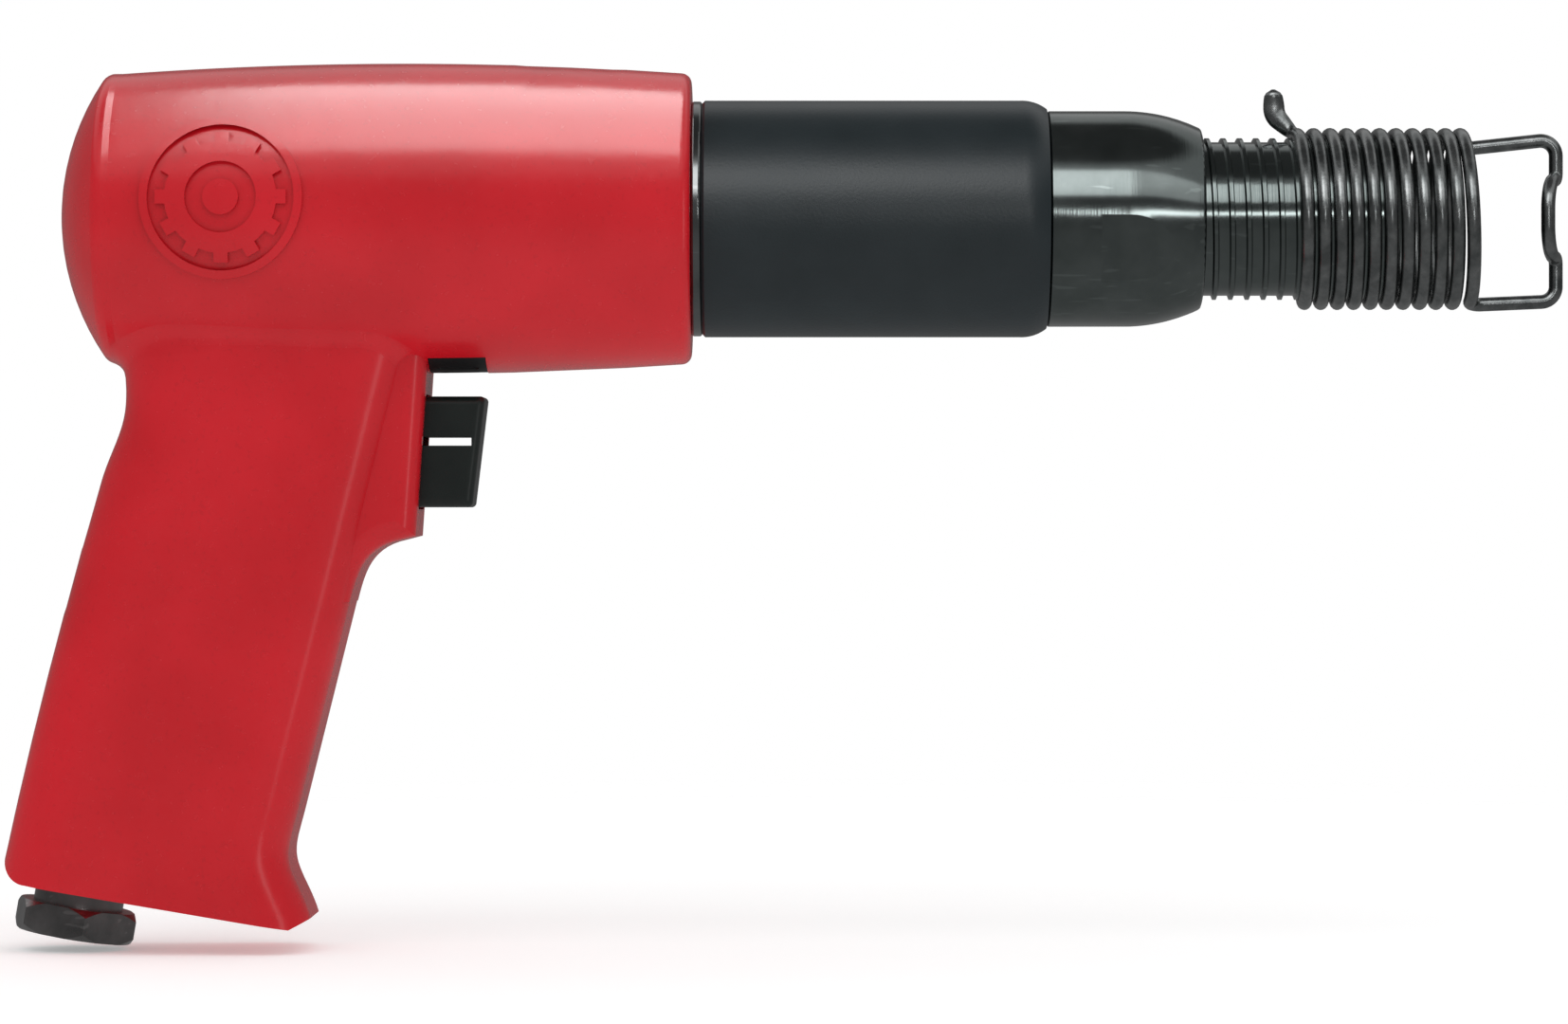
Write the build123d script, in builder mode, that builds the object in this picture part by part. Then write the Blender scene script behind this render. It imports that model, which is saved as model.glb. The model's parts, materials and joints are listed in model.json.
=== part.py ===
"""Pneumatic air hammer with a quick-change spring retainer. All sizes in millimetres.

Frame: the origin is the centre of the barrel's front face, on the bore axis. +X points
towards the chisel, +Z up, and the grip hangs down and slightly back in the XZ plane.
"""
import os
from math import asin, cos, degrees, radians, sin, sqrt

from build123d import *

os.makedirs("parts", exist_ok=True)

# ---- Driving dimensions -------------------------------------------------------------
BORE_R = 9.525              # 19.05 mm cylinder bore
STROKE = 89.0               # piston travel
SHANK_R = 5.15              # chisel socket, for a 10.2 mm shank
SOCKET_LENGTH = 45.0        # from the front face back to the cylinder bore
FIT = 0.10                  # radial clearance between pieces that are screwed or pressed

# Stations along the barrel axis, counted back from the front face
THREAD_REAR = -33.15        # shoulder behind the nose thread
OGIVE_REAR = -46.3          # the nose starts to taper here
COLLAR_REAR = -59.6         # shoulder that the sleeve butts against
SLEEVE_REAR = -118.5
HOUSING_FRONT = -120.3
CHAMBER_REAR = -166.0       # back of the exhaust chamber, front of the screwed joint
BARREL_REAR = -176.0
CAP_FRONT = -183.0          # joint between valve block and valve cap
CAP_REAR = -192.0
SEAT_REAR = -193.5          # bottom of the bore that takes the valve stack
PLENUM_REAR = -214.0
DOME_APEX = -228.0

# Barrel
TUBE_R = 16.5
COLLAR_R = 18.45
OGIVE_RADIUS = 30.0
JOINT_R = 18.0              # screwed rear end, drawn at its major diameter
FLAT_DISTANCE = 17.46       # half of the 34.9 mm across the wrench flats
FLAT_TILT = 19.4            # turns the flats until their upper edge is level with the axis
FLAT_REAR = -51.0
EXHAUST_PORT_X = -132.0
SLEEVE_R = 20.25
SLEEVE_GROOVES = (-110.0, -68.0)

# Nose thread and retainer spring share one pitch
PITCH = 2.82
THREAD_ROOT_R = 13.15
THREAD_CREST_R = 13.85
WIRE_R = 1.2
COIL_R = 14.4
COIL_START = -16.7          # wire centre at the top of the first turn
GRIP_TURNS = 6              # turns screwed onto the nose
FREE_TURNS = 4              # turns ahead of the nose, which open when the loop is bent
WIRE_GAP_TURNS = 0.005      # hairline between the free coils and the loop
LOOP_X = 27.8               # crossbar of the loop
LOOP_TOP, LOOP_BOTTOM = 13.7, -14.1
YOKE_X = 25.6
YOKE_R = 6.6                # wire centre to shank centre

# Housing
DOME_RADIUS = 42.0
RIM_R = 24.8                # housing radius at both ends
CROWN_R = 26.55             # and at its middle
CHAMBER_R = 19.0
PLENUM_R = 14.0
GRIP_HALF_WIDTH = 16.5
BOSS_HALF_WIDTH = 12.5
BLEND_R = 4.0               # fillet between barrel part and grip
EMBLEM_X, EMBLEM_Z = -198.5, 2.4
EMBLEM_R = 13.7
COG_R = 9.4                 # root circle of the cog inside the emblem's rim
RELIEF = 0.8                # height of the emblem over the casing

# Trigger and throttle, on an axis parallel to the barrel
THROTTLE_Z = -42.5
THROTTLE_BORE_R = 7.0
POCKET_REAR = -177.0
SPRING_SEAT = -208.0
VALVE_SEAT = -190.0
ROD_R = 2.5
TRIGGER_TOP, TRIGGER_BOTTOM = -30.5, -49.4
TRIGGER_REAR = -170.0
TRIGGER_HALF_WIDTH = 7.1

# Air inlet in the foot of the grip
FOOT_ANGLE = 9.65           # slope of the foot, and tilt of the inlet axis
INLET_POINT = (-225.0, 0, -114.6)
INLET_HOLE_R = 7.7
INLET_HOLE_DEPTH = 18.0
HEX_AF = 19.05              # 3/4 in across flats
HEX_TOP, HEX_BOTTOM = 2.9, 8.2
INLET_THREAD_R = 5.7
SCREEN_R = 5.1

AXIAL = Plane.YZ            # sections across the barrel; local x is Y, local y is Z
inlet_plane = Plane(
    origin=INLET_POINT,
    x_dir=(cos(radians(FOOT_ANGLE)), 0, -sin(radians(FOOT_ANGLE))),
    z_dir=(-sin(radians(FOOT_ANGLE)), 0, -cos(radians(FOOT_ANGLE))),
)


# ---- Shared operations, each used inside a BuildPart block --------------------------
def disc(rear, front, radius, height=0.0, mode=Mode.ADD):
    """Extrude a circle along X, between two stations."""
    with BuildSketch(AXIAL.offset(rear)) as section:
        with Locations((0, height)):
            Circle(radius)
    extrude(section.sketch, amount=front - rear, mode=mode)


def inlet_disc(inner_end, outer_end, radius, mode=Mode.ADD):
    """Extrude a circle along the inlet axis, which points out of the foot."""
    with BuildSketch(inlet_plane.offset(inner_end)) as section:
        Circle(radius)
    extrude(section.sketch, amount=outer_end - inner_end, mode=mode)


def passage(start, end, radius):
    """Drill a straight hole between two points of the XZ plane."""
    a, b = Vector(start[0], 0, start[1]), Vector(end[0], 0, end[1])
    with BuildSketch(Plane(origin=a, z_dir=b - a)) as section:
        Circle(radius)
    extrude(section.sketch, amount=(b - a).length, mode=Mode.SUBTRACT)


def o_ring(station, major, minor, height=0.0):
    """Revolve a round section about an axis along X."""
    with BuildSketch(Plane.XZ) as section:
        with Locations((station, height + major)):
            Circle(minor)
    revolve(section.sketch, axis=Axis((0, 0, height), (1, 0, 0)))


def bolt_circle(rear, front, count, circle_r, hole_r, turn=0.0):
    """Drill holes along X on a circle about the barrel axis."""
    with BuildSketch(AXIAL.offset(rear)) as holes:
        with PolarLocations(circle_r, count, start_angle=turn):
            Circle(hole_r)
    extrude(holes.sketch, amount=front - rear, mode=Mode.SUBTRACT)


def coil(start_x, turns, radius, wire_r, pitch, height=0.0):
    """Sweep round wire along a right-hand helix that starts at the top."""
    with BuildLine() as path:
        Helix(pitch=pitch, height=turns * pitch, radius=radius,
              center=(start_x, 0, height), direction=(1, 0, 0))
    with BuildSketch(Plane(origin=path.line @ 0, z_dir=path.line % 0)) as section:
        Circle(wire_r)
    sweep(section.sketch, path=path.line, is_frenet=True)
    return path.line


def body_profile(grow=0.0):
    """Half outline of the barrel part of the housing, with its domed rear end."""
    centre_x = DOME_APEX + DOME_RADIUS
    dome_r = DOME_RADIUS + grow
    rim_r = RIM_R + grow
    rim_x = centre_x - sqrt(dome_r**2 - rim_r**2)
    mid_r = rim_r / 2
    with BuildSketch(Plane.XZ) as profile:
        with BuildLine():
            side = ThreePointArc((-217.6, rim_r), (-168, CROWN_R + grow), (HOUSING_FRONT, rim_r))
            front = Line(side @ 1, (HOUSING_FRONT, 0))
            axis = Line(front @ 1, (DOME_APEX - grow, 0))
            dome = ThreePointArc(
                axis @ 1, (centre_x - sqrt(dome_r**2 - mid_r**2), mid_r), (rim_x, rim_r))
            Line(dome @ 1, side @ 0)
        make_face()
    revolve(profile.sketch, axis=Axis.X)
    return rim_x


# ---- Handle and housing: one aluminium casting --------------------------------------
with BuildPart() as barrel_casing:
    rim_x = body_profile()
    rim = edges().filter_by(GeomType.CIRCLE).filter_by(lambda e: abs(e.center().X - rim_x) < 0.3)
    fillet(rim, 2.2)
    fillet(edges().filter_by(GeomType.CIRCLE).sort_by(Axis.X)[-1], 1.8)

with BuildPart() as grip:
    with BuildSketch(Plane.XZ):
        with BuildLine():
            web = Spline((-218.6, -16.0), (-216.8, -25.5), (-216.8, -33.5), (-220.9, -45.5),
                         tangents=((0.35, -0.93), (-0.26, -0.97)))
            back = ThreePointArc(web @ 1, (-229.6, -77.0), (-237.1, -108.8))
            heel = ThreePointArc(back @ 1, (-236.1, -111.5), (-232.6, -113.3))
            foot = Line(heel @ 1, (-188.2, -120.85))
            toe = Line(foot @ 1, (-184.9, -119.2))
            instep = Spline(toe @ 1, (-188.7, -109.0), (-187.2, -101.5),
                            tangents=((-0.3, 1), (0.245, 0.97)))
            front = Line(instep @ 1, (-164.4, -10.0))
            Line(front @ 1, web @ 0)
        make_face()
    extrude(amount=GRIP_HALF_WIDTH, both=True)
    sides = edges().filter_by(lambda e: abs(abs(e.center().Y) - GRIP_HALF_WIDTH) < 0.01)
    fillet(sides.filter_by(lambda e: e.center().X < -215 and e.center().Z > -110), 11.0)
    sides = edges().filter_by(lambda e: abs(abs(e.center().Y) - GRIP_HALF_WIDTH) < 0.01)
    fillet(sides.filter_by(lambda e: e.center().X > -189 and e.center().Z > -119), 9.0)

with BuildPart() as trigger_boss:
    with BuildSketch(Plane.XZ):
        with BuildLine():
            nose = Polyline((-195, -20), (-164.7, -20), (-167.0, -54.3), (-169.7, -55.0))
            under = Spline(nose @ 1, (-175.6, -58.6), (-178.2, -65.5),
                           tangents=((-1, -0.2), (-0.245, -0.97)))
            Polyline(under @ 1, (-195, -65.5), nose @ 0)
        make_face()
    extrude(amount=BOSS_HALF_WIDTH, both=True)
    rounded = edges().filter_by(
        lambda e: abs(abs(e.center().Y) - BOSS_HALF_WIDTH) < 0.01
        and e.center().X > -185 and -65 < e.center().Z < -21)
    fillet(rounded, 3.5)

with BuildPart() as emblem:
    body_profile(grow=RELIEF)
    with BuildSketch(Plane.XZ):
        with Locations((EMBLEM_X, EMBLEM_Z)):
            Circle(EMBLEM_R)
            Circle(EMBLEM_R - 1.4, mode=Mode.SUBTRACT)
            Circle(COG_R)
            Circle(COG_R - 3.4, mode=Mode.SUBTRACT)
            Circle(3.0)
            with PolarLocations(COG_R + 0.5, 12):
                Rectangle(2.2, 2.4)
    extrude(amount=40, both=True, mode=Mode.INTERSECT)
    with BuildSketch(Plane.XZ):
        with Locations((EMBLEM_X, EMBLEM_Z)):
            Circle(EMBLEM_R + 5)
    extrude(amount=BOSS_HALF_WIDTH, both=True, mode=Mode.SUBTRACT)


def on_both(edge):
    """True for an edge made where the barrel casing and the grip meet."""
    middle = edge.position_at(0.5)
    point = Vertex(middle.X, middle.Y, middle.Z)
    on_faces = all(min(point.distance_to(f) for f in p.faces()) < 1e-4 for p in (barrel_casing, grip))
    on_edges = any(min(point.distance_to(q) for q in p.edges()) < 1e-3 for p in (barrel_casing, grip))
    return on_faces and not on_edges


with BuildPart() as handle_housing:
    add(barrel_casing.part)
    add(grip.part)
    fillet(edges().filter_by(on_both), BLEND_R)
    add(trigger_boss.part)
    add(emblem.part)
    # Bores for the valve stack, the barrel and the exhaust
    disc(PLENUM_REAR, SEAT_REAR, PLENUM_R, mode=Mode.SUBTRACT)
    disc(SEAT_REAR, CHAMBER_REAR, JOINT_R + FIT, mode=Mode.SUBTRACT)
    disc(CHAMBER_REAR, HOUSING_FRONT, CHAMBER_R, mode=Mode.SUBTRACT)
    # Window for the exhaust deflector
    with BuildSketch(Plane.XY.offset(-15)):
        with Locations((-160.0, 0)):
            Rectangle(9.8, 22.0)
    extrude(amount=-15, mode=Mode.SUBTRACT)
    # Trigger pocket and throttle bore
    with BuildSketch(AXIAL.offset(POCKET_REAR)):
        with Locations((0, (TRIGGER_TOP + TRIGGER_BOTTOM) / 2)):
            RectangleRounded(2 * TRIGGER_HALF_WIDTH + 0.7, TRIGGER_TOP - TRIGGER_BOTTOM + 0.7, 1.5)
    extrude(amount=20, mode=Mode.SUBTRACT)
    disc(SPRING_SEAT, POCKET_REAR, THROTTLE_BORE_R, THROTTLE_Z, mode=Mode.SUBTRACT)
    # Air passages: inlet hole, up the grip to the throttle, and on to the plenum
    inlet_disc(-INLET_HOLE_DEPTH, 4, INLET_HOLE_R, mode=Mode.SUBTRACT)
    hole_end = inlet_plane.from_local_coords((0, 0, -INLET_HOLE_DEPTH + 1))
    passage((hole_end.X, hole_end.Z), (-201.0, -45.0), 4.5)
    passage((-184.0, -38.5), (-206.0, -8.0), 3.0)
handle_housing.part.label = "handle_housing"
export_step(handle_housing.part, "parts/handle_housing.step")

# ---- Barrel, with its helical nose thread -------------------------------------------
with BuildPart() as nose_ridge:
    ridge_start = COIL_START + PITCH / 2 - 6 * PITCH
    base_r = THREAD_ROOT_R - 0.15
    with BuildLine() as ridge_path:
        Helix(pitch=PITCH, height=11 * PITCH, radius=base_r,
              center=(ridge_start, 0, 0), direction=(1, 0, 0))
    section = Plane(origin=ridge_path.line @ 0, x_dir=(1, 0, 0), z_dir=ridge_path.line % 0)
    with BuildSketch(section):
        with BuildLine():
            crest = THREAD_CREST_R - base_r
            Polyline((-0.62, 0), (-0.3, crest), (0.3, crest), (0.62, 0), close=True)
        make_face()
    sweep(is_frenet=True)

with BuildPart() as barrel:
    ogive_end_r = COLLAR_R - OGIVE_RADIUS + sqrt(OGIVE_RADIUS**2 - (THREAD_REAR - OGIVE_REAR) ** 2)
    mid_x = (OGIVE_REAR + THREAD_REAR) / 2
    mid_r = COLLAR_R - OGIVE_RADIUS + sqrt(OGIVE_RADIUS**2 - (mid_x - OGIVE_REAR) ** 2)
    with BuildSketch(Plane.XZ):
        with BuildLine():
            tail = Polyline(
                (BARREL_REAR, BORE_R), (BARREL_REAR, JOINT_R - 0.6), (BARREL_REAR + 0.6, JOINT_R),
                (CHAMBER_REAR, JOINT_R), (CHAMBER_REAR, TUBE_R), (COLLAR_REAR, TUBE_R),
                (COLLAR_REAR, COLLAR_R - 0.4), (COLLAR_REAR + 0.4, COLLAR_R), (OGIVE_REAR, COLLAR_R))
            ogive = ThreePointArc(tail @ 1, (mid_x, mid_r), (THREAD_REAR, ogive_end_r))
            Polyline(
                ogive @ 1, (THREAD_REAR, THREAD_ROOT_R), (-0.8, THREAD_ROOT_R), (0, 12.4),
                (0, SHANK_R), (-SOCKET_LENGTH, SHANK_R),
                (-SOCKET_LENGTH, BORE_R - 2), (-SOCKET_LENGTH - 2, BORE_R), (BARREL_REAR, BORE_R))
        make_face()
    revolve(axis=Axis.X)
    fillet(edges().filter_by(GeomType.CIRCLE).filter_by(
        lambda e: abs(e.center().X - THREAD_REAR) < 0.01 and abs(e.radius - ogive_end_r) < 0.01), 0.8)
    add(nose_ridge.part)
    for side in (1, -1):
        flat = Location((FLAT_REAR / 2 + THREAD_REAR / 2, 0, 0), (FLAT_TILT, 0, 0))
        with Locations(flat * Location((0, side * (FLAT_DISTANCE + 5), 0))):
            Box(THREAD_REAR - FLAT_REAR, 10, 40, mode=Mode.SUBTRACT)
    for turn in (45, 135):
        with Locations(Location((EXHAUST_PORT_X, 0, 0), (turn, 0, 0))):
            Cylinder(2.5, 2 * TUBE_R + 4, mode=Mode.SUBTRACT)
    for groove_x in SLEEVE_GROOVES:
        with BuildSketch(AXIAL.offset(groove_x - 1)):
            Circle(TUBE_R + 1)
            Circle(TUBE_R - 1.3, mode=Mode.SUBTRACT)
        extrude(amount=2, mode=Mode.SUBTRACT)
    bolt_circle(BARREL_REAR, BARREL_REAR + 4.5, 1, 14.0, 1.55, turn=90)
barrel.part.label = "barrel"
export_step(barrel.part, "parts/barrel.step")

# ---- Ring and sleeve around the barrel ----------------------------------------------
with BuildPart() as barrel_lock_ring:
    disc(HOUSING_FRONT - 6.7, HOUSING_FRONT, CHAMBER_R - FIT)
    disc(HOUSING_FRONT, SLEEVE_REAR, SLEEVE_R - 0.15)
    disc(HOUSING_FRONT - 6.7, SLEEVE_REAR, TUBE_R + FIT, mode=Mode.SUBTRACT)
    fillet(edges().filter_by(GeomType.CIRCLE).filter_by(
        lambda e: abs(e.radius - SLEEVE_R + 0.15) < 0.01), 0.5)
barrel_lock_ring.part.label = "barrel_lock_ring"
export_step(barrel_lock_ring.part, "parts/barrel_lock_ring.step")

with BuildPart() as barrel_sleeve:
    with BuildSketch(Plane.XZ):
        with BuildLine():
            rear = Polyline((SLEEVE_REAR, TUBE_R + FIT), (SLEEVE_REAR, SLEEVE_R - 0.5),
                            (SLEEVE_REAR + 0.5, SLEEVE_R), (COLLAR_REAR - 4.6, SLEEVE_R))
            lip = ThreePointArc(rear @ 1, (COLLAR_REAR - 1.7, SLEEVE_R - 0.45),
                                (COLLAR_REAR, SLEEVE_R - 1.4))
            Polyline(lip @ 1, (COLLAR_REAR, TUBE_R + FIT), rear @ 0)
        make_face()
    revolve(axis=Axis.X)
barrel_sleeve.part.label = "barrel_sleeve"
export_step(barrel_sleeve.part, "parts/barrel_sleeve.step")

with BuildPart() as sleeve_o_rings:
    for groove_x in SLEEVE_GROOVES:
        o_ring(groove_x, TUBE_R - 0.6, 0.66)
sleeve_o_rings.part.label = "sleeve_o_rings"
export_step(sleeve_o_rings.part, "parts/sleeve_o_rings.step")

# ---- Piston ---------------------------------------------------------------------------
PISTON_R = BORE_R - 0.055
PISTON_REAR = BARREL_REAR + 0.5
PISTON_FRONT = -SOCKET_LENGTH - 0.5 - STROKE
with BuildPart() as piston:
    with BuildSketch(Plane.XZ):
        with BuildLine():
            crown = ThreePointArc((PISTON_FRONT, 0), (PISTON_FRONT - 0.1, 3.4),
                                  (PISTON_FRONT - 0.4, PISTON_R - 2.6))
            Polyline(crown @ 1, (PISTON_FRONT - 3, PISTON_R), (PISTON_REAR + 1, PISTON_R),
                     (PISTON_REAR, PISTON_R - 1), (PISTON_REAR, 4), (PISTON_REAR + 20, 4),
                     (PISTON_REAR + 22.3, 0), crown @ 0)
        make_face()
    revolve(axis=Axis.X)
    for groove_x in (PISTON_REAR + 6, PISTON_REAR + 10, PISTON_FRONT - 10):
        with BuildSketch(AXIAL.offset(groove_x)):
            Circle(PISTON_R + 1)
            Circle(PISTON_R - 0.5, mode=Mode.SUBTRACT)
        extrude(amount=1.2, mode=Mode.SUBTRACT)
piston.part.label = "piston"
export_step(piston.part, "parts/piston.step")

# ---- Valve stack behind the barrel ----------------------------------------------------
STACK_R = JOINT_R
DISC_R = 8.6
with BuildPart() as valve_block:
    disc(CAP_FRONT, BARREL_REAR, STACK_R)
    disc(CAP_FRONT, CAP_FRONT + 3, DISC_R + 0.4, mode=Mode.SUBTRACT)
    disc(CAP_FRONT, BARREL_REAR, 4.0, mode=Mode.SUBTRACT)
    bolt_circle(CAP_FRONT, BARREL_REAR, 6, 12.2, 1.2, turn=30)
    bolt_circle(CAP_FRONT, BARREL_REAR, 1, 14.0, 1.55, turn=90)
valve_block.part.label = "valve_block"
export_step(valve_block.part, "parts/valve_block.step")

with BuildPart() as valve_disc:
    disc(CAP_FRONT + 0.3, CAP_FRONT + 1.5, DISC_R)
    chamfer(edges().filter_by(GeomType.CIRCLE), 0.2)
valve_disc.part.label = "valve_disc"
export_step(valve_disc.part, "parts/valve_disc.step")

with BuildPart() as valve_cap:
    disc(CAP_REAR, CAP_FRONT, STACK_R)
    disc(CAP_REAR, CAP_REAR + 4, 9.5, mode=Mode.SUBTRACT)
    bolt_circle(CAP_REAR, CAP_FRONT, 6, 6.4, 1.5)
    bolt_circle(CAP_REAR, CAP_FRONT, 6, 12.2, 1.2, turn=30)
    bolt_circle(CAP_FRONT - 5.5, CAP_FRONT, 1, 14.0, 1.55, turn=90)
valve_cap.part.label = "valve_cap"
export_step(valve_cap.part, "parts/valve_cap.step")

with BuildPart() as valve_dowel_pin:
    with BuildSketch(AXIAL.offset(CAP_FRONT - 5)):
        with Locations((0, 14.0)):
            Circle(1.5)
    extrude(amount=BARREL_REAR + 4 - CAP_FRONT + 5)
    chamfer(edges().filter_by(GeomType.CIRCLE), 0.3)
valve_dowel_pin.part.label = "valve_dowel_pin"
export_step(valve_dowel_pin.part, "parts/valve_dowel_pin.step")

with BuildPart() as valve_cap_gasket:
    disc(SEAT_REAR, CAP_REAR, STACK_R)
    disc(SEAT_REAR, CAP_REAR, PLENUM_R, mode=Mode.SUBTRACT)
valve_cap_gasket.part.label = "valve_cap_gasket"
export_step(valve_cap_gasket.part, "parts/valve_cap_gasket.step")

# ---- Exhaust deflector in the underside -------------------------------------------------
with BuildPart() as exhaust_deflector:
    body_profile(grow=-0.15)
    with BuildSketch(Plane.XY.offset(-CHAMBER_R - 0.3)):
        with Locations((-160.0, 0)):
            Rectangle(9.7, 21.9)
    extrude(amount=-10, mode=Mode.INTERSECT)
    with BuildSketch(Plane.XY.offset(-CHAMBER_R)):
        with Locations((-160.0, 0)):
            with GridLocations(0, 3.6, 1, 4):
                SlotOverall(7.0, 1.8)
    extrude(amount=-10, mode=Mode.SUBTRACT)
exhaust_deflector.part.label = "exhaust_deflector"
export_step(exhaust_deflector.part, "parts/exhaust_deflector.step")

# ---- Trigger, rod and throttle valve ----------------------------------------------------
PIN_X = -164.2
PIN_R = 1.2
PIN_TOP, PIN_BOTTOM = -39.7, TRIGGER_BOTTOM + 0.5
with BuildPart() as trigger:
    with BuildSketch(Plane.XZ):
        with BuildLine():
            Polyline((TRIGGER_REAR, TRIGGER_TOP), (-155.35, TRIGGER_TOP), (-157.6, TRIGGER_BOTTOM),
                     (TRIGGER_REAR, TRIGGER_BOTTOM), close=True)
        make_face()
    extrude(amount=TRIGGER_HALF_WIDTH, both=True)
    front_edges = faces().sort_by(Axis.X)[-1].edges()
    fillet(front_edges.filter_by(Axis.Y), 0.8)
    fillet(edges().filter_by(
        lambda e: abs(abs(e.center().Y) - TRIGGER_HALF_WIDTH) < 0.01 and e.center().X > -160), 1.6)
    # Slot through the trigger above the rod
    with BuildSketch(Plane.XZ):
        with Locations((-162.4, -38.15)):
            Rectangle(9.4, 1.5)
    extrude(amount=TRIGGER_HALF_WIDTH + 1, both=True, mode=Mode.SUBTRACT)
    # Blind hole for the rod, and a hole from below for its pin
    disc(TRIGGER_REAR, -160.5, ROD_R + 0.05, THROTTLE_Z, mode=Mode.SUBTRACT)
    passage((PIN_X, TRIGGER_BOTTOM - 1), (PIN_X, PIN_TOP + 0.1), PIN_R + 0.05)
trigger.part.label = "trigger"
export_step(trigger.part, "parts/trigger.step")

with BuildPart() as trigger_rod:
    disc(VALVE_SEAT - 0.1, -161.0, ROD_R, THROTTLE_Z)
    disc(VALVE_SEAT - 3.5, VALVE_SEAT - 0.1, 1.4, THROTTLE_Z)
    passage((PIN_X, THROTTLE_Z - ROD_R - 1), (PIN_X, THROTTLE_Z + ROD_R + 1), PIN_R + 0.05)
trigger_rod.part.label = "trigger_rod"
export_step(trigger_rod.part, "parts/trigger_rod.step")

with BuildPart() as trigger_roll_pin:
    with BuildSketch(Plane.XY.offset(PIN_BOTTOM)):
        with Locations((PIN_X, 0)):
            Circle(PIN_R)
            Circle(PIN_R / 2, mode=Mode.SUBTRACT)
    extrude(amount=PIN_TOP - PIN_BOTTOM)
trigger_roll_pin.part.label = "trigger_roll_pin"
export_step(trigger_roll_pin.part, "parts/trigger_roll_pin.step")

BUSHING_FRONT = POCKET_REAR - 0.5
with BuildPart() as throttle_bushing:
    disc(VALVE_SEAT, BUSHING_FRONT, THROTTLE_BORE_R - 0.05, THROTTLE_Z)
    disc(VALVE_SEAT, VALVE_SEAT + 8.5, 4.0, THROTTLE_Z, mode=Mode.SUBTRACT)
    disc(VALVE_SEAT, BUSHING_FRONT, ROD_R + 0.1, THROTTLE_Z, mode=Mode.SUBTRACT)
    disc(BUSHING_FRONT - 3.1, BUSHING_FRONT - 1.5, 3.9, THROTTLE_Z, mode=Mode.SUBTRACT)
    # Outer grooves: air gallery round the ports, and the seal groove ahead of it
    for groove_rear, groove_front, groove_r in ((-189.0, -183.0, 5.8), (-181.1, -179.3, 5.65)):
        with BuildSketch(AXIAL.offset(groove_rear)):
            with Locations((0, THROTTLE_Z)):
                Circle(THROTTLE_BORE_R + 1)
                Circle(groove_r, mode=Mode.SUBTRACT)
        extrude(amount=groove_front - groove_rear, mode=Mode.SUBTRACT)
    for turn in (0, 90):
        with Locations(Location((-186, 0, THROTTLE_Z), (turn, 0, 0))):
            Cylinder(2.0, 2 * THROTTLE_BORE_R, mode=Mode.SUBTRACT)
throttle_bushing.part.label = "throttle_bushing"
export_step(throttle_bushing.part, "parts/throttle_bushing.step")

with BuildPart() as throttle_seals:
    o_ring(BUSHING_FRONT - 2.3, ROD_R + 0.7, 0.64, THROTTLE_Z)
    o_ring(-180.2, THROTTLE_BORE_R - 0.69, 0.64, THROTTLE_Z)
throttle_seals.part.label = "throttle_seals"
export_step(throttle_seals.part, "parts/throttle_seals.step")

with BuildPart() as throttle_valve_seal:
    disc(VALVE_SEAT - 1.3, VALVE_SEAT - 0.1, 5.2, THROTTLE_Z)
    disc(VALVE_SEAT - 1.3, VALVE_SEAT - 0.1, 1.45, THROTTLE_Z, mode=Mode.SUBTRACT)
throttle_valve_seal.part.label = "throttle_valve_seal"
export_step(throttle_valve_seal.part, "parts/throttle_valve_seal.step")

with BuildPart() as throttle_valve:
    disc(VALVE_SEAT - 3.7, VALVE_SEAT - 1.3, 5.0, THROTTLE_Z)
    disc(VALVE_SEAT - 6.5, VALVE_SEAT - 3.7, 2.5, THROTTLE_Z)
    disc(VALVE_SEAT - 3.6, VALVE_SEAT - 1.3, 1.45, THROTTLE_Z, mode=Mode.SUBTRACT)
throttle_valve.part.label = "throttle_valve"
export_step(throttle_valve.part, "parts/throttle_valve.step")

SPRING_WIRE_R = 0.45
SPRING_TURNS = 6.5
spring_rear = SPRING_SEAT + SPRING_WIRE_R + 0.05
spring_front = VALVE_SEAT - 3.7 - SPRING_WIRE_R - 0.1
with BuildPart() as throttle_spring:
    coil(spring_rear, SPRING_TURNS, 3.3, SPRING_WIRE_R,
         (spring_front - spring_rear) / SPRING_TURNS, THROTTLE_Z)
throttle_spring.part.label = "throttle_spring"
export_step(throttle_spring.part, "parts/throttle_spring.step")

# ---- Air inlet --------------------------------------------------------------------------
inlet_axis = Axis(INLET_POINT, inlet_plane.z_dir)

with BuildPart() as hex_envelope:
    inlet_disc(HEX_TOP, HEX_BOTTOM, HEX_AF / sqrt(3) - 0.05)
    chamfer(edges().filter_by(GeomType.CIRCLE), 1.2)

with BuildPart() as inlet_bushing:
    with BuildSketch(inlet_plane.offset(HEX_TOP)):
        RegularPolygon(HEX_AF / 2, 6, major_radius=False, rotation=15)
    extrude(amount=HEX_BOTTOM - HEX_TOP)
    add(hex_envelope.part, mode=Mode.INTERSECT)
    inlet_disc(-16, 0, INLET_HOLE_R - FIT)
    inlet_disc(0, HEX_TOP, 7.65)
    inlet_disc(-3.3, HEX_BOTTOM, INLET_THREAD_R, mode=Mode.SUBTRACT)
    inlet_disc(-3.9, -3.3, SCREEN_R + 0.1, mode=Mode.SUBTRACT)
    inlet_disc(-16, -3.9, 4.5, mode=Mode.SUBTRACT)
    with BuildSketch(inlet_plane.offset(-6.0)):
        Circle(INLET_HOLE_R + 1)
        Circle(6.6, mode=Mode.SUBTRACT)
    extrude(amount=1.8, mode=Mode.SUBTRACT)
inlet_bushing.part.label = "inlet_bushing"
export_step(inlet_bushing.part, "parts/inlet_bushing.step")

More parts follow.
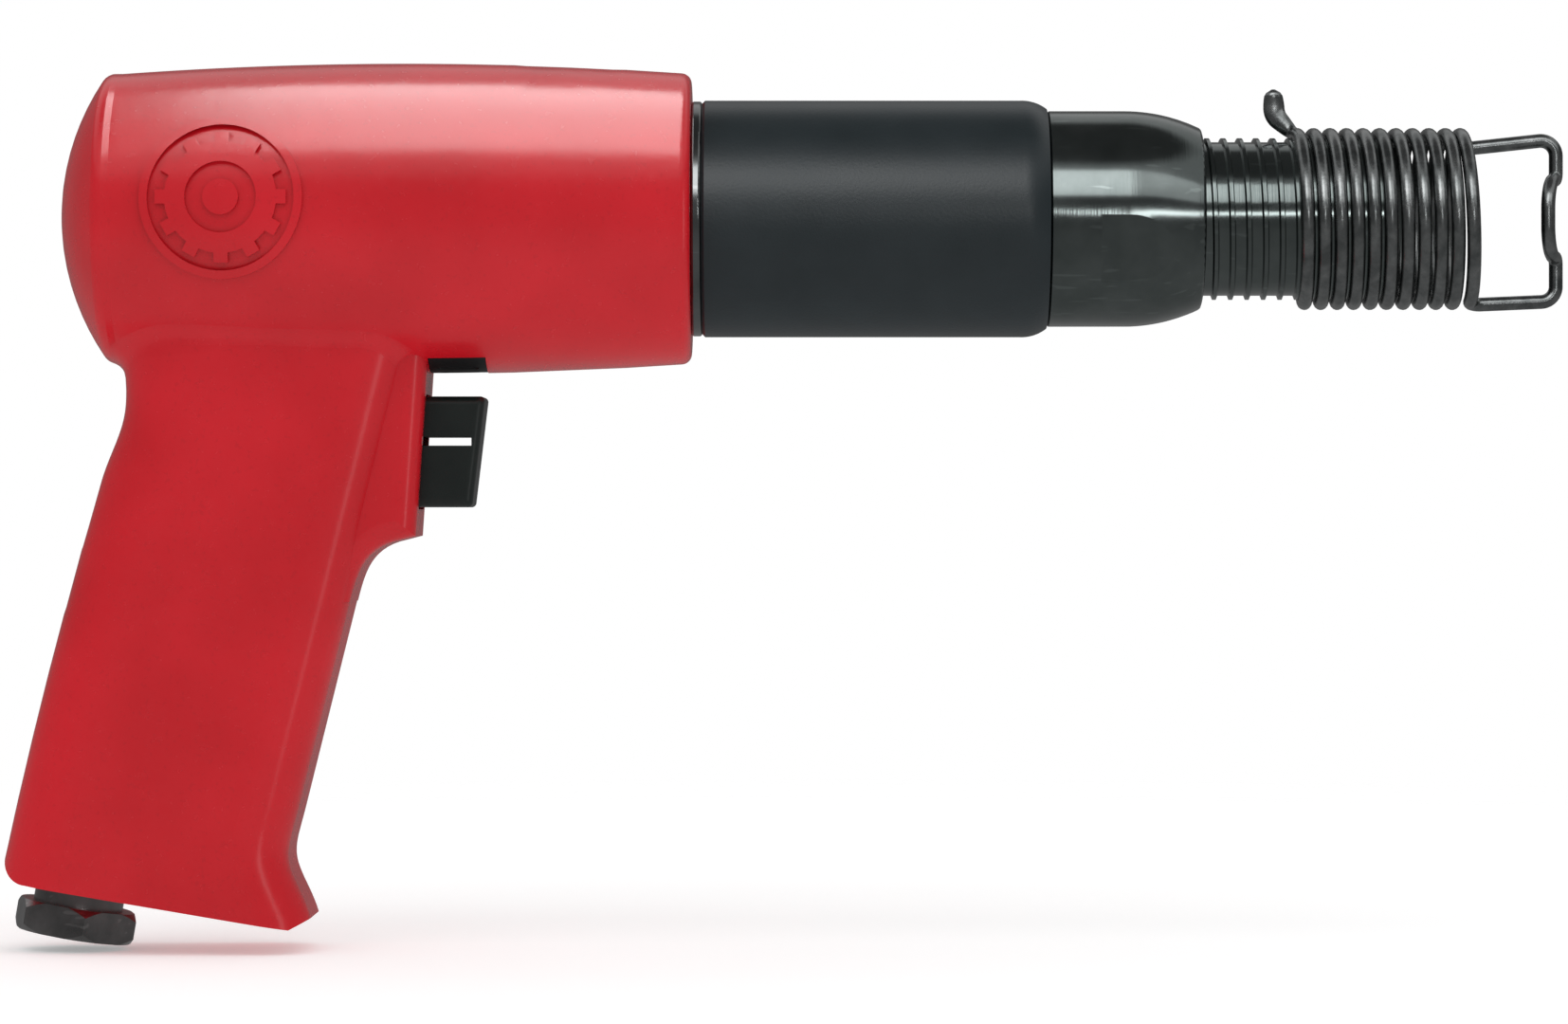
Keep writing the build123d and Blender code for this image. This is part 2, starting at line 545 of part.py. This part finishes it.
with BuildPart() as inlet_o_ring:
    with BuildSketch(Plane(origin=INLET_POINT, x_dir=inlet_plane.z_dir, z_dir=(0, -1, 0))):
        with Locations((-5.1, 7.14)):
            Circle(0.5)
    revolve(axis=inlet_axis)
inlet_o_ring.part.label = "inlet_o_ring"
export_step(inlet_o_ring.part, "parts/inlet_o_ring.step")

with BuildPart() as inlet_screen:
    inlet_disc(-3.85, -3.35, SCREEN_R)
    with BuildSketch(inlet_plane.offset(-3.85)):
        with HexLocations(0.75, 5, 5):
            Circle(0.45)
    extrude(amount=0.5, mode=Mode.SUBTRACT)
inlet_screen.part.label = "inlet_screen"
export_step(inlet_screen.part, "parts/inlet_screen.step")

# ---- Retainer spring: thumb tail and grip coils, free coils, loop -------------------------
free_start = COIL_START + GRIP_TURNS * PITCH
loop_start = free_start + FREE_TURNS * PITCH

with BuildPart() as retainer_grip_coils:
    wire = coil(COIL_START, GRIP_TURNS, COIL_R, WIRE_R, PITCH)
    bend = wire @ 0 - wire % 0 * 2.9
    with BuildLine() as tail_path:
        FilletPolyline(wire @ 0, bend, bend + Vector(-3.1, 0.2, 3.6), bend + Vector(-3.5, 0.3, 7.8),
                       radius=(2.0, 2.4))
    with BuildSketch(Plane(origin=tail_path.line @ 0, z_dir=tail_path.line % 0)):
        Circle(WIRE_R)
    sweep()
    tip = faces().sort_by(Axis.Z)[-1]
    fillet(tip.edges(), 0.7)
retainer_grip_coils.part.label = "retainer_grip_coils"
export_step(retainer_grip_coils.part, "parts/retainer_grip_coils.step")

with BuildPart() as retainer_free_coils:
    coil(free_start, FREE_TURNS - WIRE_GAP_TURNS, COIL_R, WIRE_R, PITCH)
retainer_free_coils.part.label = "retainer_free_coils"
export_step(retainer_free_coils.part, "parts/retainer_free_coils.step")

# The wire leaves the last turn just before the bottom, so that the loop stands at Y = 0
leave_angle = degrees(asin(2.4 / COIL_R))
with BuildPart() as retainer_loop:
    wire = coil(loop_start, (180 - leave_angle) / 360, COIL_R, WIRE_R, PITCH)
    leave = wire @ 1
    corner = leave + wire % 1 * 2.42
    route = [
        leave, corner,
        (LOOP_X, 0, LOOP_BOTTOM), (LOOP_X, 0, -YOKE_R),
        (YOKE_X, -YOKE_R, -YOKE_R), (YOKE_X, -YOKE_R, YOKE_R),
        (LOOP_X, 0, YOKE_R), (LOOP_X, 0, LOOP_TOP),
        (10.6, 0, COIL_R - 2 * WIRE_R - 0.15),
    ]
    with BuildLine() as loop_path:
        FilletPolyline(*route, radius=(2.2, 2.6, 1.4, 5.2, 5.2, 1.4, 2.6))
    with BuildSketch(Plane(origin=loop_path.line @ 0, z_dir=loop_path.line % 0)):
        Circle(WIRE_R)
    sweep()
retainer_loop.part.label = "retainer_loop"
export_step(retainer_loop.part, "parts/retainer_loop.step")
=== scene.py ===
"""Looks of the pneumatic air hammer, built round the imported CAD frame. Metres throughout."""

import json
import math

import bpy
import numpy as np
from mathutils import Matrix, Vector


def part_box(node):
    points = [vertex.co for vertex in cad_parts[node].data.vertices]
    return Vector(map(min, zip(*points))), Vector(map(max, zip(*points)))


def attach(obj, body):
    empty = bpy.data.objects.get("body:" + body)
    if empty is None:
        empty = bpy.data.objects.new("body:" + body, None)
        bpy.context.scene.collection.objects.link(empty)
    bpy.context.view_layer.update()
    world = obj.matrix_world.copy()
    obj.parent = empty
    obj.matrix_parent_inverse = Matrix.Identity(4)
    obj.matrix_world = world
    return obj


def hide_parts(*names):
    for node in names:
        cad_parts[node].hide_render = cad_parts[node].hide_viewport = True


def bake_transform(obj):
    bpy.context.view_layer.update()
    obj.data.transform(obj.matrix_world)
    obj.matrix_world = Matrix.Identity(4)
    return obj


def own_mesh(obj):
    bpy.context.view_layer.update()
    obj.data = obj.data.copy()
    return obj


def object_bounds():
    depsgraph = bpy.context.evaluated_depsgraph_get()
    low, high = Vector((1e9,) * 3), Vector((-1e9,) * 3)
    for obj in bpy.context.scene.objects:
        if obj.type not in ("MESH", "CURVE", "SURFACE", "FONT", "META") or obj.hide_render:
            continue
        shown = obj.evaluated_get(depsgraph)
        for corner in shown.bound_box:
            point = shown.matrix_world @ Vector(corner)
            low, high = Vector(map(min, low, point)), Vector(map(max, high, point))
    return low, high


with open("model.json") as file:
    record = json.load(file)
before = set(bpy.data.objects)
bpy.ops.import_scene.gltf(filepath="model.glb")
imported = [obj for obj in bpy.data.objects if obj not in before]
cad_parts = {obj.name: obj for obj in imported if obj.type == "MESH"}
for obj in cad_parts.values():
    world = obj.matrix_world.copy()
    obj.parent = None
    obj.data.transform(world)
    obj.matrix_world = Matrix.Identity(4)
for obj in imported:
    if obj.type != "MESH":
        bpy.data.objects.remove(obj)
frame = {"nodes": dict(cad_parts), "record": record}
cad_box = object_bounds()
MM = 0.001


# ---- Small helpers -------------------------------------------------------------------
def srgb(red, green, blue):
    """Linear colour from 8-bit display values."""
    def linear(v):
        v /= 255
        return v / 12.92 if v <= 0.04045 else ((v + 0.055) / 1.055) ** 2.4
    return (linear(red), linear(green), linear(blue), 1.0)


class Nodes:
    """A material's node tree, with short calls for the nodes that the finishes share."""

    def __init__(self, name):
        self.material = bpy.data.materials.new(name)
        self.material.use_nodes = True
        self.tree = self.material.node_tree
        self.shader = self.tree.nodes["Principled BSDF"]
        self.position = self.add("ShaderNodeTexCoord").outputs["Object"]

    def add(self, kind, **settings):
        node = self.tree.nodes.new(kind)
        for key, value in settings.items():
            setattr(node, key, value)
        return node

    def link(self, source, target):
        self.tree.links.new(source, target)

    def set(self, **values):
        """Set the shader's own sockets, such as Roughness or Coat_Weight."""
        for key, value in values.items():
            self.shader.inputs[key.replace("_", " ")].default_value = value

    def stretch(self, scale):
        """Object position in metres, scaled along each axis."""
        node = self.add("ShaderNodeMapping")
        node.inputs["Scale"].default_value = scale
        self.link(self.position, node.inputs["Vector"])
        return node.outputs["Vector"]

    def noise(self, size, detail=3.0, roughness=0.5, vector=None):
        """Noise whose features are about size metres across."""
        node = self.add("ShaderNodeTexNoise")
        node.inputs["Scale"].default_value = 1 / size
        node.inputs["Detail"].default_value = detail
        node.inputs["Roughness"].default_value = roughness
        self.link(vector or self.position, node.inputs["Vector"])
        return node.outputs["Fac"]

    def ramp(self, value, stops):
        """Colour ramp over (place, grey or colour) stops."""
        node = self.add("ShaderNodeValToRGB")
        elements = node.color_ramp.elements
        while len(elements) < len(stops):
            elements.new(0.5)
        for element, (place, colour) in zip(elements, stops):
            element.position = place
            element.color = colour if isinstance(colour, tuple) else (colour,) * 3 + (1.0,)
        self.link(value, node.inputs["Fac"])
        return node.outputs["Color"]

    def range(self, value, low, high):
        """Spread a 0..1 value over low..high."""
        node = self.add("ShaderNodeMapRange")
        node.inputs["To Min"].default_value = low
        node.inputs["To Max"].default_value = high
        self.link(value, node.inputs["Value"])
        return node.outputs["Result"]

    def mix(self, factor, a, b):
        """Mix two colours, each a socket or a value."""
        node = self.add("ShaderNodeMix", data_type="RGBA")
        for socket, value in ((node.inputs["Factor"], factor), (node.inputs[6], a), (node.inputs[7], b)):
            if isinstance(value, bpy.types.NodeSocket):
                self.link(value, socket)
            else:
                socket.default_value = value
        return node.outputs[2]

    def bump(self, height, distance, strength=1.0, under=None):
        """Bump of that depth in metres, over an earlier bump."""
        node = self.add("ShaderNodeBump")
        node.inputs["Distance"].default_value = distance
        node.inputs["Strength"].default_value = strength
        self.link(height, node.inputs["Height"])
        if under is not None:
            self.link(under, node.inputs["Normal"])
        return node.outputs["Normal"]

    def finish(self, colour=None, roughness=None, normal=None):
        for socket, name in ((colour, "Base Color"), (roughness, "Roughness"), (normal, "Normal")):
            if socket is not None:
                self.link(socket, self.shader.inputs[name])
        return self.material


# ---- Finishes ------------------------------------------------------------------------
def red_paint():
    """Semi-gloss enamel over a cast surface: orange peel, faint cloudiness, soft sheen."""
    n = Nodes("red_paint")
    n.set(Metallic=0.0, Coat_Weight=0.3, Coat_Roughness=0.16, IOR=1.45)
    cloud = n.noise(0.022, detail=2.0)
    fine = n.noise(0.0016, detail=3.0)
    colour = n.ramp(cloud, ((0.3, srgb(190, 15, 28)), (0.7, srgb(205, 22, 36))))
    speck = n.ramp(n.noise(0.0007, detail=1.0), ((0.30, 1.0), (0.36, 0.0)))
    colour = n.mix(n.range(speck, 0.0, 0.12), colour, srgb(120, 18, 24))
    peel = n.bump(fine, 0.00008, 0.35)
    casting = n.bump(n.noise(0.006, detail=2.0), 0.0002, 0.25, peel)
    return n.finish(colour, n.range(fine, 0.22, 0.30), casting)


def turned_steel(name, dark, light, low, high):
    """Lathe-turned steel: fine rings across the barrel axis, blotchy oxide, handling marks."""
    n = Nodes(name)
    n.set(Metallic=1.0, Coat_Weight=0.15, Coat_Roughness=0.12)
    rings = n.noise(0.00035, detail=2.0, vector=n.stretch((1.0, 0.02, 0.02)))
    blotch = n.noise(0.009, detail=4.0, roughness=0.6)
    colour = n.ramp(blotch, ((0.32, dark), (0.68, light)))
    scratch = n.ramp(n.noise(0.0012, detail=1.0, vector=n.stretch((0.15, 1.0, 1.0))),
                     ((0.66, 0.0), (0.72, 1.0)))
    colour = n.mix(n.range(scratch, 0.0, 0.25), colour, (light[0] * 2, light[1] * 2, light[2] * 2, 1.0))
    normal = n.bump(rings, 0.00003, 0.35)
    return n.finish(colour, n.range(blotch, low, high), normal)


def moulded_plastic(name, dark, light, low, high):
    """Moulded plastic with a fine spark-eroded texture, glossier where it is handled."""
    n = Nodes(name)
    n.set(Metallic=0.0, IOR=1.49)
    texture = n.noise(0.0005, detail=2.0)
    wear = n.noise(0.012, detail=3.0)
    colour = n.ramp(wear, ((0.3, dark), (0.7, light)))
    return n.finish(colour, n.range(wear, low, high), n.bump(texture, 0.00006, 0.4))


def spring_wire():
    """Phosphated spring wire: dark, with drawing lines and rubbed brighter in places."""
    n = Nodes("spring_wire")
    n.set(Metallic=1.0)
    rub = n.noise(0.004, detail=4.0, roughness=0.65)
    colour = n.ramp(rub, ((0.35, (0.13, 0.14, 0.14, 1)), (0.75, (0.30, 0.31, 0.31, 1))))
    pits = n.noise(0.0004, detail=2.0)
    return n.finish(colour, n.range(rub, 0.20, 0.32), n.bump(pits, 0.00003, 0.4))


def soft_rubber():
    """Matte black rubber with a faint bloom."""
    n = Nodes("rubber")
    n.set(Metallic=0.0, IOR=1.45)
    bloom = n.noise(0.003, detail=3.0)
    colour = n.ramp(bloom, ((0.3, (0.012, 0.012, 0.012, 1)), (0.7, (0.028, 0.028, 0.027, 1))))
    return n.finish(colour, n.range(bloom, 0.55, 0.72), n.bump(n.noise(0.0005), 0.00004, 0.3))


FINISHES = {
    "red_paint": red_paint(),
    "black_steel": turned_steel("black_steel", (0.10, 0.118, 0.115, 1), (0.14, 0.16, 0.157, 1), 0.10, 0.18),
    "ring_steel": turned_steel("ring_steel", (0.12, 0.13, 0.13, 1), (0.2, 0.21, 0.21, 1), 0.14, 0.22),
    "sleeve_composite": moulded_plastic(
        "sleeve_composite", (0.011, 0.018, 0.021, 1), (0.015, 0.023, 0.027, 1), 0.33, 0.42),
    "trigger_plastic": moulded_plastic(
        "trigger_plastic", (0.007, 0.011, 0.010, 1), (0.012, 0.018, 0.016, 1), 0.30, 0.42),
    "black_plastic": moulded_plastic(
        "black_plastic", (0.008, 0.008, 0.009, 1), (0.014, 0.014, 0.015, 1), 0.45, 0.6),
    "spring_wire": spring_wire(),
    "inlet_steel": turned_steel("inlet_steel", (0.16, 0.155, 0.155, 1), (0.30, 0.285, 0.285, 1), 0.22, 0.38),
    "hardened_steel": turned_steel("hardened_steel", (0.40, 0.40, 0.41, 1), (0.52, 0.52, 0.53, 1), 0.18, 0.3),
    "bright_steel": turned_steel("bright_steel", (0.5, 0.5, 0.5, 1), (0.62, 0.62, 0.62, 1), 0.18, 0.32),
    "brass": turned_steel("brass", (0.50, 0.34, 0.12, 1), (0.66, 0.48, 0.20, 1), 0.2, 0.34),
    "rubber": soft_rubber(),
    "gasket": moulded_plastic("gasket", (0.09, 0.085, 0.07, 1), (0.14, 0.13, 0.11, 1), 0.7, 0.85),
}

slot_of = {entry["node"]: entry["material_slot"] for entry in frame["record"]["subparts"]}


def give_finish(obj, slot):
    """Replace every material of an object with one finish."""
    obj.data.materials.clear()
    obj.data.materials.append(FINISHES[slot])


for node, obj in frame["nodes"].items():
    give_finish(obj, slot_of[node])


# ---- Wire pieces ---------------------------------------------------------------------
def tube(name, path, radii, sides=16, flatten=None):
    """Closed tube along points (mm), with a radius (mm) for each.

    flatten gives a direction and, for each point, how much thinner the tube is along it.
    """
    points = np.array(path, float)
    radii = np.broadcast_to(np.asarray(radii, float), len(points))
    tangents = np.gradient(points, axis=0)
    tangents /= np.linalg.norm(tangents, axis=1)[:, None]
    across = np.cross(tangents[0], (0.3, 1.0, 0.2))
    across /= np.linalg.norm(across)
    verts = []
    for i, (point, tangent, radius) in enumerate(zip(points, tangents, radii)):
        across = across - tangent * np.dot(across, tangent)
        across /= np.linalg.norm(across)
        other = np.cross(tangent, across)
        for k in range(sides):
            angle = 2 * math.pi * k / sides
            offset = radius * (math.cos(angle) * across + math.sin(angle) * other)
            if flatten is not None:
                offset -= np.dot(offset, flatten[0]) * (1 - flatten[1][i]) * flatten[0]
            verts.append(point + offset)
    faces = []
    for i in range(len(points) - 1):
        for k in range(sides):
            a, b = i * sides + k, i * sides + (k + 1) % sides
            faces.append((a, b, b + sides, a + sides))
    faces.append(tuple(range(sides - 1, -1, -1)))
    last = (len(points) - 1) * sides
    faces.append(tuple(range(last, last + sides)))
    mesh = bpy.data.meshes.new(name)
    mesh.from_pydata([tuple(v * MM) for v in verts], [], faces)
    mesh.polygons.foreach_set("use_smooth", [True] * len(faces))
    mesh.update()
    obj = bpy.data.objects.new(name, mesh)
    bpy.context.scene.collection.objects.link(obj)
    return obj


ARC_STEP = 0.35              # between the points of a bend, in millimetres


def bent(corners, radii, spacing=1.2):
    """Points along straight runs (mm) with a round bend of its own radius at each corner."""
    corners = [np.array(c, float) for c in corners]
    route = [corners[0]]
    for before, corner, after, radius in zip(corners, corners[1:], corners[2:], radii):
        back = (before - corner) / np.linalg.norm(before - corner)
        ahead = (after - corner) / np.linalg.norm(after - corner)
        half = math.acos(np.clip(np.dot(back, ahead), -1, 1)) / 2
        cut = radius / math.tan(half)
        centre = corner + (back + ahead) / np.linalg.norm(back + ahead) * radius / math.sin(half)
        start, end = corner + back * cut - centre, corner + ahead * cut - centre
        sweep = math.pi - 2 * half
        count = max(4, int(radius * sweep / ARC_STEP))
        for k in range(count + 1):
            t = k / count
            mixed = start * math.sin((1 - t) * sweep) + end * math.sin(t * sweep)
            route.append(centre + mixed / math.sin(sweep))
    route.append(corners[-1])
    dense = [route[0]]
    for a, b in zip(route, route[1:]):
        parts = max(1, int(np.linalg.norm(b - a) / spacing))
        dense.extend(a + (b - a) * k / parts for k in range(1, parts + 1))
    return dense


# Sizes of the retainer spring, as in the CAD, in millimetres
PITCH, COIL_R, WIRE_R = 2.82, 14.4, 1.2
COIL_START, TURNS = -16.7, 10
LOOP_X, LOOP_TOP, LOOP_BOTTOM = 27.8, 13.7, -14.1
YOKE_X, YOKE_R = 25.6, 6.6
LEAVE_Y = 2.4                # how far to the side of the bottom the wire leaves the last turn
LOOP_RUN = 2.42              # from there to the loop's first bend
LOOP_END_X, LOOP_END_GAP = 10.6, 0.15      # where the wire's end is tucked under the last turn
LOOP_BENDS = [2.2, 2.6, 1.4, 5.2, 5.2, 1.4, 2.6]
END_TAPER = (0.98, 0.9, 0.7)
BOW = -0.35                  # how far along X the last turn bows
BOW_BEFORE, BOW_TURNS = 0.25, 0.75         # turns before the last one's end, and turns that the bow takes
PER_TURN = 56
TAIL_RUN = 2.9               # from the first turn to the tail's bend
TAIL_ELBOW, TAIL_TIP = np.array((-3.4, 0.2, 3.4)), np.array((-3.6, 0.3, 7.9))
TAIL_BENDS = [3.0, 2.0]
TAIL_LENGTH = 8.5
LEAF_SPREAD = 0.55           # how much wider than the wire the tail is hammered
LEAF_THINNING = 0.62         # and how much thinner
TIP_WIDTH, TIP_ROUNDING = 0.25, 0.12       # width of the tail's end, and share of its length that is rounded


def helix_point(turn):
    """A point of the coil, counted in turns from the top of its first turn."""
    angle = 2 * math.pi * turn
    bow = 0.0
    if turn > TURNS - BOW_BEFORE:
        bow = BOW * math.sin(math.pi * min((turn - TURNS + BOW_BEFORE) / BOW_TURNS, 1.0)) ** 2
    return np.array((COIL_START + PITCH * turn + bow, -COIL_R * math.sin(angle), COIL_R * math.cos(angle)))


def retainer_wire():
    """Thumb tail, coils and loop, bent from one length of wire whose tail is hammered to a leaf."""
    leave_turn = TURNS + 0.5 - math.asin(LEAVE_Y / COIL_R) / (2 * math.pi)
    coil = [helix_point(t) for t in np.linspace(0, leave_turn, int(leave_turn * PER_TURN))]
    into = (coil[0] - coil[1]) / np.linalg.norm(coil[0] - coil[1])
    bend = coil[0] + into * TAIL_RUN
    tail = bent([bend + TAIL_TIP, bend + TAIL_ELBOW, bend, coil[0]], TAIL_BENDS, spacing=0.5)[:-1]
    ahead = (coil[-1] - coil[-2]) / np.linalg.norm(coil[-1] - coil[-2])
    loop = bent(
        [coil[-1], coil[-1] + ahead * LOOP_RUN, (LOOP_X, 0, LOOP_BOTTOM), (LOOP_X, 0, -YOKE_R),
         (YOKE_X, -YOKE_R, -YOKE_R), (YOKE_X, -YOKE_R, YOKE_R), (LOOP_X, 0, YOKE_R),
         (LOOP_X, 0, LOOP_TOP), (LOOP_END_X, 0, COIL_R - 2 * WIRE_R - LOOP_END_GAP)],
        LOOP_BENDS)[1:]
    path = np.array(tail + coil + loop)
    radii = np.full(len(path), WIRE_R)
    radii[-len(END_TAPER):] = [WIRE_R * share for share in END_TAPER]
    thickness = np.ones(len(path))
    travelled = np.concatenate([[0], np.cumsum(np.linalg.norm(np.diff(path, axis=0), axis=1))])
    for i, run in enumerate(travelled):
        if run < TAIL_LENGTH:
            t = run / TAIL_LENGTH
            leaf = math.sin(math.pi * t ** 0.8) ** 0.9
            tip = TIP_WIDTH + (1 - TIP_WIDTH) * min(1.0, math.sqrt(t / TIP_ROUNDING))
            radii[i] = WIRE_R * (tip + LEAF_SPREAD * leaf)
            thickness[i] = 1 - LEAF_THINNING * leaf
    return tube("retainer_wire", path, radii, flatten=(np.array((0.0, 1.0, 0.0)), thickness))


retainer = retainer_wire()
give_finish(retainer, "spring_wire")
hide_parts("retainer_grip_coils", "retainer_free_coils", "retainer_loop")
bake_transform(retainer)


def throttle_spring():
    """Compression spring behind the throttle valve, with closed ends."""
    low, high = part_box("throttle_spring")
    rear, front = low[0] / MM, high[0] / MM
    height = (low[2] + high[2]) / 2 / MM
    wire_r, mean_r, turns, per_turn = 0.45, 3.3, 7.0, 40
    closed, closed_rise = 1.0, 0.06      # closed turns in all, and the share of the length they climb
    points = []
    for t in np.linspace(0, turns, int(turns * per_turn)):
        along = np.clip((t - closed / 2) / (turns - closed), 0, 1)
        rise = closed_rise * t / turns + (1 - closed_rise) * along
        x = rear + wire_r + (front - rear - 2 * wire_r) * rise
        angle = 2 * math.pi * t
        points.append((x, -mean_r * math.sin(angle), height + mean_r * math.cos(angle)))
    return tube("throttle_return_spring", points, wire_r, sides=12)


spring = throttle_spring()
give_finish(spring, "bright_steel")
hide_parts("throttle_spring")
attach(spring, "root")
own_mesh(spring)


# ---- Floor, backdrop and light ---------------------------------------------------------
FLOOR_RADIUS, FLOOR_GAP = 0.65, 0.0008
FLOOR_FADE = (0.25, 0.60)     # distances over which the floor fades out
BACKDROP_RADIUS = 6.0
SURROUND_LEVEL = 0.74         # of the even white that lights the object
# What reflections see of the surroundings: elevation in degrees, and level
REFLECTED_BANDS = [(-90, 0.30), (-20, 0.25), (-6, 0.18), (8, 0.14),
                   (26, 0.14), (33, 0.6), (54, 0.6), (62, 0.10)]
SOFTBOX_DISTANCE = 1.0        # from the barrel axis


def floor_material():
    """Pale floor that fades into the backdrop with distance from the object."""
    n = Nodes("floor")
    n.set(Roughness=0.9)
    grain = n.noise(0.004, detail=2.0)
    colour = n.range(grain, 0.90, 0.93)
    n.link(colour, n.shader.inputs["Base Color"])
    glow = n.add("ShaderNodeEmission")
    glow.inputs["Strength"].default_value = 0.30
    both = n.add("ShaderNodeAddShader")
    n.link(n.shader.outputs[0], both.inputs[0])
    n.link(glow.outputs[0], both.inputs[1])
    distance = n.add("ShaderNodeVectorMath", operation="LENGTH")
    n.link(n.position, distance.inputs[0])
    fade = n.add("ShaderNodeMapRange")
    fade.inputs["From Min"].default_value, fade.inputs["From Max"].default_value = FLOOR_FADE
    n.link(distance.outputs["Value"], fade.inputs["Value"])
    clear = n.add("ShaderNodeBsdfTransparent")
    blend = n.add("ShaderNodeMixShader")
    n.link(fade.outputs["Result"], blend.inputs[0])
    n.link(both.outputs[0], blend.inputs[1])
    n.link(clear.outputs[0], blend.inputs[2])
    n.link(blend.outputs[0], n.tree.nodes["Material Output"].inputs["Surface"])
    return n.material


low, high = (Vector(c) for c in cad_box)
middle = (low + high) / 2
bpy.ops.mesh.primitive_circle_add(vertices=96, radius=FLOOR_RADIUS, fill_type="NGON",
                                  location=(middle.x, 0, low.z - FLOOR_GAP))
floor = bpy.context.object
floor.name = "floor"
floor.data.materials.append(floor_material())
floor.visible_glossy = False

bpy.ops.mesh.primitive_uv_sphere_add(segments=48, ring_count=24, radius=BACKDROP_RADIUS, location=middle)
backdrop = bpy.context.object
backdrop.name = "backdrop"
white = bpy.data.materials.new("backdrop_white")
white.use_nodes = True
white.node_tree.nodes.clear()
white_glow = white.node_tree.nodes.new("ShaderNodeEmission")
white_out = white.node_tree.nodes.new("ShaderNodeOutputMaterial")
white.node_tree.links.new(white_glow.outputs[0], white_out.inputs["Surface"])
backdrop.data.materials.append(white)
for ray in ("diffuse", "glossy", "transmission", "volume_scatter", "shadow"):
    setattr(backdrop, f"visible_{ray}", False)


def studio_world():
    """Even white surroundings for diffuse light; dark ones with a soft high band for reflections."""
    world = bpy.data.worlds.new("studio")
    world.use_nodes = True
    tree = world.node_tree
    even = tree.nodes["Background"]
    even.inputs["Color"].default_value = (1, 1, 1, 1)
    even.inputs["Strength"].default_value = SURROUND_LEVEL
    coords = tree.nodes.new("ShaderNodeTexCoord")
    split = tree.nodes.new("ShaderNodeSeparateXYZ")
    spread = tree.nodes.new("ShaderNodeMapRange")
    spread.inputs["From Min"].default_value = -1.0
    ramp = tree.nodes.new("ShaderNodeValToRGB")
    elements = ramp.color_ramp.elements
    while len(elements) < len(REFLECTED_BANDS):
        elements.new(0.5)
    for element, (elevation, level) in zip(elements, REFLECTED_BANDS):
        element.position = (math.sin(math.radians(elevation)) + 1) / 2
        element.color = (level, level, level, 1)
    banded = tree.nodes.new("ShaderNodeBackground")
    path = tree.nodes.new("ShaderNodeLightPath")
    choice = tree.nodes.new("ShaderNodeMixShader")
    tree.links.new(coords.outputs["Generated"], split.inputs[0])
    tree.links.new(split.outputs["Z"], spread.inputs["Value"])
    tree.links.new(spread.outputs["Result"], ramp.inputs["Fac"])
    tree.links.new(ramp.outputs["Color"], banded.inputs["Color"])
    tree.links.new(path.outputs["Is Glossy Ray"], choice.inputs[0])
    tree.links.new(even.outputs[0], choice.inputs[1])
    tree.links.new(banded.outputs[0], choice.inputs[2])
    tree.links.new(choice.outputs[0], tree.nodes["World Output"].inputs["Surface"])
    bpy.context.scene.world = world


def softbox(name, place, aim, size, radiance, reflected_by=()):
    """Rectangular light turned to a point. Given pieces, it shows only as a reflection in them."""
    light = bpy.data.lights.new(name, "AREA")
    light.shape = "RECTANGLE"
    light.size, light.size_y = size
    light.energy = radiance * math.pi * size[0] * size[1]
    obj = bpy.data.objects.new(name, light)
    obj.location = place
    obj.rotation_euler = (Vector(aim) - Vector(place)).to_track_quat("-Z", "Y").to_euler()
    obj.visible_camera = False
    obj.visible_diffuse = not reflected_by
    obj.visible_glossy = bool(reflected_by)
    bpy.context.scene.collection.objects.link(obj)
    if reflected_by:
        receivers = bpy.data.collections.new(name + "_receivers")
        for piece in reflected_by:
            receivers.objects.link(piece)
        obj.light_linking.receiver_collection = receivers


def axis_softbox(name, station, elevation, size, radiance, reflected_by):
    """Softbox in front of the barrel axis at X = station, raised by an elevation in degrees, facing it."""
    angle = math.radians(elevation)
    place = (station, -SOFTBOX_DISTANCE * math.cos(angle), SOFTBOX_DISTANCE * math.sin(angle))
    softbox(name, place, (station, 0, 0), size, radiance, reflected_by)


studio_world()
softbox("key", (middle.x, -0.7, 0.9), middle, (1.2, 0.8), 1.0)
nodes = frame["nodes"]
handle = [nodes[name] for name in ("handle_housing", "trigger", "exhaust_deflector")]
nose_end = [obj for obj in nodes.values() if obj not in handle] + [retainer, spring]
axis_softbox("housing_sheen", -0.06, 81.5, (0.64, 1.3), 6.2, handle)
softbox("grip_edge_sheen", (0.70, -0.62, -0.06), (-0.19, 0, -0.08), (0.16, 0.70), 1.6, handle)
axis_softbox("barrel_sheen", -0.23, 36, (0.60, 0.50), 3.2, nose_end)
axis_softbox("nose_strip", 0.10, 5.0, (0.20, 0.075), 9.0, nose_end)
axis_softbox("shoulder_sheen", 0.635, 36, (1.13, 0.50), 1.2, [nodes["barrel"], retainer])
axis_softbox("shoulder_strip", 0.70, 5.0, (1.00, 0.090), 9.0, [nodes["barrel"]])

# ---- Camera ---------------------------------------------------------------------------
CAMERA_DISTANCE = 0.95
CAMERA_X, CAMERA_Z = -0.1045, -0.0502
FRAME_WIDTH = 0.2688          # width of the view at the object's middle plane
SENSOR_WIDTH = 36             # in millimetres
camera_data = bpy.data.cameras.new("camera")
camera_data.sensor_width = SENSOR_WIDTH
camera_data.lens = SENSOR_WIDTH * CAMERA_DISTANCE / FRAME_WIDTH
camera_data.clip_end = 20
camera = bpy.data.objects.new("camera", camera_data)
camera.location = (CAMERA_X, -CAMERA_DISTANCE, CAMERA_Z)
camera.rotation_euler = (math.pi / 2, 0, 0)
bpy.context.scene.collection.objects.link(camera)
bpy.context.scene.camera = camera
bpy.context.scene.view_settings.view_transform = "Standard"
